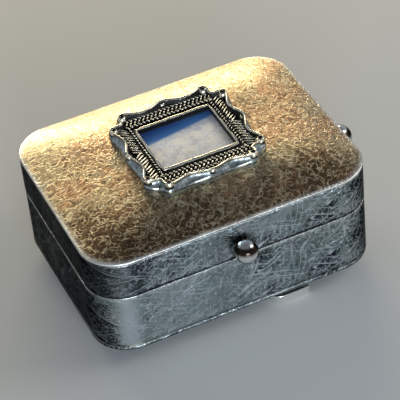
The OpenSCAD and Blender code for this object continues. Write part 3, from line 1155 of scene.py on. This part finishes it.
def make_rib_tree():
    """Geometry tree: a row of raised ribs, each a low pointed leaf, with a little variation"""
    tree = bpy.data.node_groups.new("row of ribs", "GeometryNodeTree")
    face = tree.interface
    face.new_socket("Geometry", in_out="OUTPUT", socket_type="NodeSocketGeometry")
    for title, kind in (("Start", "Vector"), ("Run", "Vector"), ("Number", "Int"),
                        ("Rib Length", "Float"), ("Rib Width", "Float"), ("Tilt", "Float"),
                        ("Seed", "Int"), ("Material", "Material")):
        face.new_socket(title, in_out="INPUT", socket_type="NodeSocket" + kind)
    g = Graph(tree)
    inp = g.put("NodeGroupInput").outputs
    out = g.put("NodeGroupOutput").inputs
    steps = g.minus(inp["Number"], 1.0)
    line = g.put("GeometryNodeMeshLine", {
        "Count": inp["Number"], "Start Location": inp["Start"],
        "Offset": g.scaled(inp["Run"], g.math("DIVIDE", 1.0, steps))}, mode="OFFSET").outputs[0]
    rib = g.put("GeometryNodeMeshUVSphere", {"Segments": 8, "Rings": 6, "Radius": 0.5}).outputs[0]
    height = g.parts(g.put("GeometryNodeInputPosition").outputs[0])[2]
    marked = g.put("GeometryNodeStoreNamedAttribute", {
        "Geometry": rib, "Name": "crest", "Value": g.minus(g.times(height, 2.6), 0.1)},
        data_type="FLOAT", domain="POINT")
    stretch = random_value(g, 0.85, 1.12, inp["Seed"])
    size = g.combined(g.times(inp["Rib Length"], stretch), inp["Rib Width"],
                      g.times(inp["Rib Width"], 1.9))
    wobble = random_value(g, -0.12, 0.12, g.plus(inp["Seed"], 7.0))
    turn = g.combined(0.0, 0.0, g.plus(inp["Tilt"], wobble))
    placed = g.put("GeometryNodeInstanceOnPoints", {
        "Points": line, "Instance": marked.outputs[0], "Rotation": turn, "Scale": size}).outputs[0]
    solid = g.put("GeometryNodeRealizeInstances", {0: placed}).outputs[0]
    shaded = g.put("GeometryNodeSetShadeSmooth", {0: solid}).outputs[0]
    coloured = g.put("GeometryNodeSetMaterial", {
        "Geometry": shaded, "Material": inp["Material"]}).outputs[0]
    g.link(coloured, out[0])
    return tree


def run_rib_tree(tree, name, values):
    """Evaluate the tree on an empty mesh and keep the result as a plain mesh"""
    holder = add_object(name + "_rule", bpy.data.meshes.new(name + "_rule"))
    modifier = holder.modifiers.new("ribs", "NODES")
    modifier.node_group = tree
    for item in tree.interface.items_tree:
        if item.in_out == "INPUT":
            modifier[item.identifier] = values[item.name]
    graph = bpy.context.evaluated_depsgraph_get()
    mesh = bpy.data.meshes.new_from_object(holder.evaluated_get(graph), depsgraph=graph)
    mesh.name = name
    holder.modifiers.remove(modifier)
    bpy.data.objects.remove(holder)
    if not mesh.polygons:
        raise RuntimeError(f"{name}: the rib tree made no faces")
    return add_object(name, mesh)


# ---------------------------------------------------------------- hinge and feet
class PILLBOX_OT_hinge(bpy.types.Operator):
    """Tubes of the hinge with their flanges, and the pin with its riveted heads"""
    bl_idname = "pillbox.hinge"
    bl_label = "Hinge"

    def execute(self, context):
        pin_low, pin_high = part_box("hinge_pin")
        self.pin(pin_low, pin_high)
        for body, way, names in (("base", -1, ("left", "middle", "right")),
                                 ("lid", 1, ("left", "right"))):
            for side in names:
                self.tube(f"{body}_knuckle_{side}", body, way)
        return {"FINISHED"}

    def flange_reach(self, angle, way, radius, to_wall, gap):
        """Distance from the pin to the outline at one angle; the flange runs to the wall"""
        across, up = math.cos(angle), math.sin(angle) * way
        if across >= 0 or up <= 0:
            return radius
        reach = min(to_wall / -across, radius / up)
        return reach if reach * up > gap else radius

    def tube(self, node, body, way):
        low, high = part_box(node)
        radius = (high.z - low.z) / 2
        middle_y, middle_z = high.y - radius, (high.z + low.z) / 2
        ease = 0.07 * MM
        bore = 0.5 * MM
        around = 64
        stations = [(low.x, bore, 0.0), (low.x, None, ease), (low.x + ease, None, 0.0),
                    (high.x - ease, None, 0.0), (high.x, None, ease), (high.x, bore, 0.0)]
        points = []
        for x, fixed, less in stations:
            for angle in angles(around):
                reach = fixed or self.flange_reach(
                    angle, way, radius, to_wall=middle_y - low.y, gap=0.1 * MM) - less
                points.append((x, max(low.y, middle_y + reach * math.cos(angle)),
                               middle_z + reach * math.sin(angle)))
        self.turned(node + "_tube", points, len(stations), around, body, node, ring=True)

    def pin(self, low, high):
        """Pin with its ends spread into low domed heads"""
        middle_y, middle_z = (low.y + high.y) / 2, (low.z + high.z) / 2
        head, shaft, thick = (high.z - low.z) / 2, 0.49 * MM, 0.35 * MM
        half = [(0.0, 0.3), (0.03, 0.62), (0.12, 0.86), (0.2, 0.97), (0.26, 1.0), (0.33, 0.96)]
        end = [(low.x + along * MM, head * out) for along, out in half]
        end.append((low.x + thick, shaft))
        profile = end + [(low.x + high.x - x, r) for x, r in reversed(end)]
        around = 40
        points = [(x, middle_y + r * math.cos(angle), middle_z + r * math.sin(angle))
                  for x, r in profile for angle in angles(around)]
        self.turned("hinge_pin_riveted", points, len(profile), around, "base", "hinge_pin")

    def turned(self, name, points, rows, around, body, node, ring=False):
        faces = ring_faces(rows, around, wrap=ring)
        if not ring:
            faces.append(tuple(range(around)))
            faces.append(tuple((rows - 1) * around + i for i in range(around)))
        piece = build_mesh(name, points, faces)
        outward(piece)
        piece.data.set_sharp_from_angle(angle=SHARP)
        finish_piece(piece, body, "silver" if ring else "polished", "hinge", node)


class PILLBOX_OT_feet(bpy.types.Operator):
    """Bent strip feet with their cut edges filed round"""
    bl_idname = "pillbox.feet"
    bl_label = "Feet"

    def execute(self, context):
        for node in ("front_foot", "rear_foot_left", "rear_foot_right"):
            piece = add_object(node + "_filed", NODES[node].data.copy())
            weld(piece, 0.002 * MM)
            self.file_edges(piece)
            finish_piece(piece, "base", "polished", "foot", node)
        return {"FINISHED"}

    def bevel(self, work):
        bmesh.ops.dissolve_limit(work, angle_limit=math.radians(2), verts=work.verts,
                                 edges=work.edges)
        sharp = [e for e in work.edges if e.is_manifold
                 and e.calc_face_angle(0) > math.radians(40)]
        bmesh.ops.bevel(work, geom=sharp, offset=0.09 * MM, segments=2, profile=0.6,
                        affect="EDGES", clamp_overlap=True)

    def file_edges(self, piece):
        edit_mesh(piece, self.bevel)
        piece.data.polygons.foreach_set("use_smooth", [True] * len(piece.data.polygons))
        piece.data.set_sharp_from_angle(angle=SHARP)


class PILLBOX_OT_carried(bpy.types.Operator):
    """Finish on the parts kept as they are: card, glass and catch"""
    bl_idname = "pillbox.carried"
    bl_label = "Carried parts"

    def execute(self, context):
        for material, name in (("card", "picture_card"), ("glass", "frame_glass"),
                               ("inside", "catch_bead")):
            NODES[name].data.materials.clear()
            NODES[name].data.materials.append(MATERIALS[material])
        return {"FINISHED"}


# ---------------------------------------------------------------- stage
def direction(azimuth, elevation):
    """Unit vector from the box; azimuth 0 is straight in front of it"""
    around, up = math.radians(azimuth), math.radians(elevation)
    return Vector((math.sin(around) * math.cos(up), -math.cos(around) * math.cos(up),
                   math.sin(up)))


class PILLBOX_OT_stage(bpy.types.Operator):
    """Pale floor, soft studio lights and the camera"""
    bl_idname = "pillbox.stage"
    bl_label = "Stage"

    def execute(self, context):
        scene = context.scene
        self.floor()
        self.world(scene)
        self.lights()
        self.camera(scene)
        scene.view_settings.view_transform = "Standard"
        return {"FINISHED"}

    def floor(self):
        half = 1.2
        mesh = bpy.data.meshes.new("studio_floor")
        mesh.from_pydata([(-half, -half, 0), (half, -half, 0), (half, half, 0), (-half, half, 0)],
                         [], [(0, 1, 2, 3)])
        piece = add_object("studio_floor", mesh)
        material, g, shader = new_material("pale floor")
        g.fill(shader, {"Base Color": (0.62, 0.62, 0.61, 1), "Roughness": 0.75})
        mesh.materials.append(material)

    def world(self, scene):
        scene.world = bpy.data.worlds.new("studio")
        scene.world.use_nodes = True
        g = Graph(scene.world.node_tree)
        # Bright at the horizon, dimmer overhead, as between tall white walls
        height = g.parts(g.put("ShaderNodeTexCoord").outputs["Generated"])[2]
        g.fill(scene.world.node_tree.nodes["Background"], {
            "Color": (0.8, 0.88, 1.0, 1), "Strength": g.remap(height, 0.1, 0.9, 0.5, 0.16)})

    def light(self, name, azimuth, elevation, distance, size, power, colour):
        """Rectangular lamp that looks at the box from a compass direction"""
        data = bpy.data.lights.new(name, "AREA")
        data.shape = "RECTANGLE"
        data.size, data.size_y = size
        data.energy = power
        data.color = colour
        lamp = add_object(name, data)
        outwards = direction(azimuth, elevation)
        box_middle = Vector((0, 0, 12 * MM))
        lamp.location = outwards * distance + box_middle
        lamp.rotation_euler = outwards.to_track_quat("Z", "Y").to_euler()

    def lights(self):
        self.light("warm_back", azimuth=172, elevation=20, distance=0.34, size=(0.3, 0.07),
                   power=0.66, colour=(1.0, 0.88, 0.6))
        self.light("cool_front", azimuth=-10, elevation=12, distance=0.34, size=(0.16, 0.08),
                   power=0.7, colour=(0.8, 0.91, 1.0))
        self.light("right_fill", azimuth=75, elevation=35, distance=0.4, size=(0.2, 0.2),
                   power=0.35, colour=(1.0, 0.97, 0.92))

    def camera(self, scene):
        """Viewing angle, roll and distance in box lengths"""
        azimuth, elevation, roll = -20.96, 40.83, -6.2
        distance = 6.587 * BOX_W
        lens, sensor = 175.7, 36.0
        aim = Vector((0.016 * BOX_W, -0.019 * BOX_W, plate_low.z + 0.19 * BOX_W))
        back = direction(azimuth, elevation)
        turn = back.to_track_quat("Z", "Y").to_matrix().to_4x4()
        data = bpy.data.cameras.new("camera")
        data.lens = lens
        data.sensor_width = sensor
        data.clip_start = 0.01
        camera = add_object("camera", data)
        rolled = turn @ Matrix.Rotation(math.radians(roll), 4, "Z")
        camera.matrix_world = Matrix.Translation(aim + back * distance) @ rolled
        scene.camera = camera


class PILLBOX_PT_panel(bpy.types.Panel):
    """Buttons that build the box, in the order they run"""
    bl_idname = "PILLBOX_PT_panel"
    bl_label = "Pill Box"
    bl_space_type = "VIEW_3D"
    bl_region_type = "UI"
    bl_category = "Pill Box"

    def draw(self, context):
        for group in (context.scene.pill_box_sizes, context.scene.pill_box_colours):
            for name in group.__annotations__:
                self.layout.prop(group, name)
        for operator in OPERATORS:
            self.layout.operator(operator.bl_idname)


OPERATORS = (PILLBOX_OT_stage, PILLBOX_OT_materials, PILLBOX_OT_base, PILLBOX_OT_lid,
             PILLBOX_OT_balls, PILLBOX_OT_cast_frame, PILLBOX_OT_hinge, PILLBOX_OT_feet,
             PILLBOX_OT_carried)
CLASSES = (BoxSizes, BoxColours) + OPERATORS + (PILLBOX_PT_panel,)


def register():
    for item in CLASSES:
        bpy.utils.register_class(item)
    bpy.types.Scene.pill_box_sizes = PointerProperty(type=BoxSizes)
    bpy.types.Scene.pill_box_colours = PointerProperty(type=BoxColours)


def unregister():
    del bpy.types.Scene.pill_box_colours
    del bpy.types.Scene.pill_box_sizes
    for item in reversed(CLASSES):
        bpy.utils.unregister_class(item)


def main():
    register()
    for operator in OPERATORS:
        group, name = operator.bl_idname.split(".")
        getattr(getattr(bpy.ops, group), name)()


if __name__ == "__main__":
    main()
